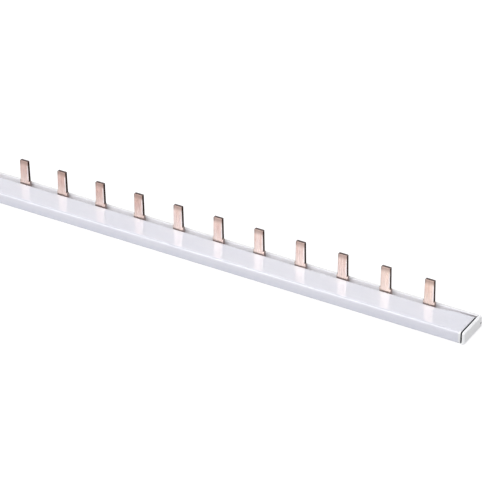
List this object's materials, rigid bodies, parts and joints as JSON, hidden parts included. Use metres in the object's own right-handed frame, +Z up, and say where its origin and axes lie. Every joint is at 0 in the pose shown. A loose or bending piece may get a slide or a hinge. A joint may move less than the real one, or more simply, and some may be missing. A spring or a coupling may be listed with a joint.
{
  "type": "comb busbar",
  "caption": "Single-pole comb busbar: a copper strip with a row of upright pins, held in a flat white plastic housing with capped ends.",
  "frame": {"origin": "middle of the footprint, at the height of the lowest edges of the two end caps", "axes": "+X along the bar, towards the end that the picture shows; +Y from the wide plain edge to the pins' side; +Z up, the way the pins point"},
  "size_m": [0.2354, 0.0148, 0.0152],
  "materials": {
    "housing_plastic": "glossy white extruded plastic",
    "copper": "bare stamped copper, bright on its faces and darker on its sheared edges",
    "cap_plastic": "white moulded plastic with a fine grain"
  },
  "bodies": {
    "root": {"housing": "housing_plastic", "copper_comb": "copper", "end_cap_right": "cap_plastic", "end_cap_left": "cap_plastic"}
  },
  "joints": []
}
